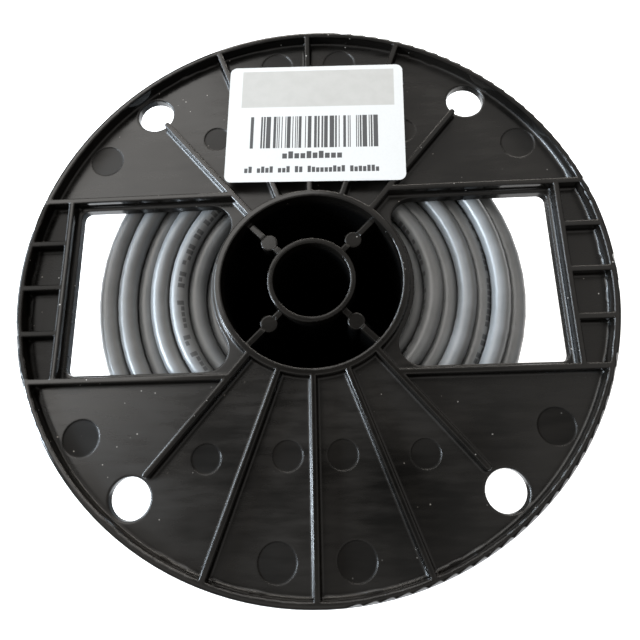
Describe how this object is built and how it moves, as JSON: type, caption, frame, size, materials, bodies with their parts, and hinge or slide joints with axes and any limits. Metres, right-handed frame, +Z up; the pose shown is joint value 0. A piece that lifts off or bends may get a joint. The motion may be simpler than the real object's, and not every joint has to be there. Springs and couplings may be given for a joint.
{
  "type": "cable spool",
  "caption": "Black moulded spool with ribbed, windowed flanges, wound with grey network cable whose free end is tucked through a flange hole.",
  "frame": {"origin": "middle of the rear flange's resting plane, on the spool's axis", "axes": "+Z up along the arbor bore, out of the labelled front flange; +Y towards the label; +X to the right when the label is read"},
  "size_m": [0.1588, 0.1588, 0.1032],
  "materials": {
    "black_plastic": "glossy injection-moulded black with faint flow haze",
    "grey_jacket": "matte grey flexible jacket",
    "label_paper": "printed white paper",
    "rip_cord": "thin off-white thread",
    "copper": "bare copper",
    "insulation_blue": "thin coloured wire insulation",
    "insulation_white_blue": "thin coloured wire insulation",
    "insulation_orange": "thin coloured wire insulation",
    "insulation_white_orange": "thin coloured wire insulation",
    "insulation_green": "thin coloured wire insulation",
    "insulation_white_green": "thin coloured wire insulation",
    "insulation_brown": "thin coloured wire insulation",
    "insulation_white_brown": "thin coloured wire insulation"
  },
  "bodies": {
    "root": {"front_half": "black_plastic", "rear_half": "black_plastic", "cable_winding": "grey_jacket", "cable_tail": "grey_jacket", "cable_end_jacket": "grey_jacket", "label": "label_paper", "rip_cord": "rip_cord", "insulation_blue": "insulation_blue", "insulation_white_blue": "insulation_white_blue", "insulation_orange": "insulation_orange", "insulation_white_orange": "insulation_white_orange", "insulation_green": "insulation_green", "insulation_white_green": "insulation_white_green", "insulation_brown": "insulation_brown", "insulation_white_brown": "insulation_white_brown", "copper_blue": "copper", "copper_white_blue": "copper", "copper_orange": "copper", "copper_white_orange": "copper", "copper_green": "copper", "copper_white_green": "copper", "copper_brown": "copper", "copper_white_brown": "copper"}
  },
  "joints": []
}
